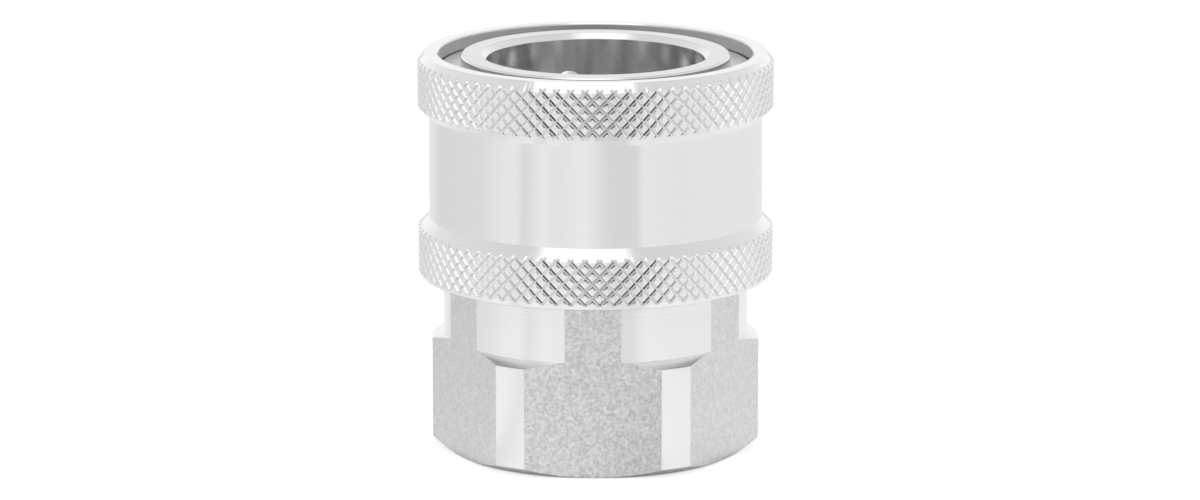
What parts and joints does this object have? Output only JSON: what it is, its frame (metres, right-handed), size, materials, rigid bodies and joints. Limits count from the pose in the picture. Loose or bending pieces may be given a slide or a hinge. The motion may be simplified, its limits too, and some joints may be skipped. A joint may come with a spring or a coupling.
{
  "type": "quick disconnect coupler",
  "caption": "Straight-through quick disconnect socket: a knurled spring-loaded sleeve holds a ring of locking balls in a hexagonal body with a threaded rear port.",
  "frame": {"origin": "centre of the rear face, on the bore's axis", "axes": "+Z along the bore towards the mouth that takes the plug, -Y out of one wrench flat, +X towards a corner of the hexagon"},
  "size_m": [0.032, 0.032, 0.036],
  "materials": {
    "body_steel": "turned stainless steel, hexagon flats as the drawn bar left them",
    "sleeve_steel": "finely turned stainless steel with diamond knurls",
    "ring_steel": "stainless spring steel strip",
    "spring_steel": "drawn stainless spring wire",
    "ball_steel": "polished hardened stainless steel",
    "seal_rubber": "black nitrile rubber",
    "backup_plastic": "white fluoropolymer"
  },
  "bodies": {
    "body": {"coupler_body": "body_steel", "spring": "spring_steel", "o_ring": "seal_rubber", "backup_ring": "backup_plastic"},
    "ring": {"retaining_ring": "ring_steel"},
    "sleeve": {"sleeve": "sleeve_steel"},
    "ball_1": {"locking_ball_1": "ball_steel"},
    "ball_2": {"locking_ball_2": "ball_steel"},
    "ball_3": {"locking_ball_3": "ball_steel"},
    "ball_4": {"locking_ball_4": "ball_steel"},
    "ball_5": {"locking_ball_5": "ball_steel"},
    "ball_6": {"locking_ball_6": "ball_steel"},
    "ball_7": {"locking_ball_7": "ball_steel"},
    "ball_8": {"locking_ball_8": "ball_steel"}
  },
  "joints": [
    {"name": "sleeve_spin", "type": "hinge", "parent": "body", "child": "ring", "pos_m": [0, 0, 0.03425], "axis": [0, 0, 1], "continuous": true},
    {"name": "sleeve_slide", "type": "slide", "parent": "ring", "child": "sleeve", "axis": [0, 0, -1], "range_m": [0, 0.0038], "stiffness_N_per_m": 5000, "springref_m": -0.003, "deforming": ["spring"]},
    {"name": "ball_1_slide", "type": "slide", "parent": "body", "child": "ball_1", "axis": [-0.2672, 0.9636, 0], "range_m": [0, 0.00078]},
    {"name": "ball_2_slide", "type": "slide", "parent": "body", "child": "ball_2", "axis": [-0.8704, 0.4924, 0], "range_m": [0, 0.00078]},
    {"name": "ball_3_slide", "type": "slide", "parent": "body", "child": "ball_3", "axis": [-0.9636, -0.2672, 0], "range_m": [0, 0.00078]},
    {"name": "ball_4_slide", "type": "slide", "parent": "body", "child": "ball_4", "axis": [-0.4924, -0.8704, 0], "range_m": [0, 0.00078]},
    {"name": "ball_5_slide", "type": "slide", "parent": "body", "child": "ball_5", "axis": [0.2672, -0.9636, 0], "range_m": [0, 0.00078]},
    {"name": "ball_6_slide", "type": "slide", "parent": "body", "child": "ball_6", "axis": [0.8704, -0.4924, 0], "range_m": [0, 0.00078]},
    {"name": "ball_7_slide", "type": "slide", "parent": "body", "child": "ball_7", "axis": [0.9636, 0.2672, 0], "range_m": [0, 0.00078]},
    {"name": "ball_8_slide", "type": "slide", "parent": "body", "child": "ball_8", "axis": [0.4924, 0.8704, 0], "range_m": [0, 0.00078]}
  ],
  "couplings": [
    {"joint": "ball_1_slide", "follows": "sleeve_slide", "ratio": 0.20263},
    {"joint": "ball_2_slide", "follows": "sleeve_slide", "ratio": 0.20263},
    {"joint": "ball_3_slide", "follows": "sleeve_slide", "ratio": 0.20263},
    {"joint": "ball_4_slide", "follows": "sleeve_slide", "ratio": 0.20263},
    {"joint": "ball_5_slide", "follows": "sleeve_slide", "ratio": 0.20263},
    {"joint": "ball_6_slide", "follows": "sleeve_slide", "ratio": 0.20263},
    {"joint": "ball_7_slide", "follows": "sleeve_slide", "ratio": 0.20263},
    {"joint": "ball_8_slide", "follows": "sleeve_slide", "ratio": 0.20263}
  ]
}
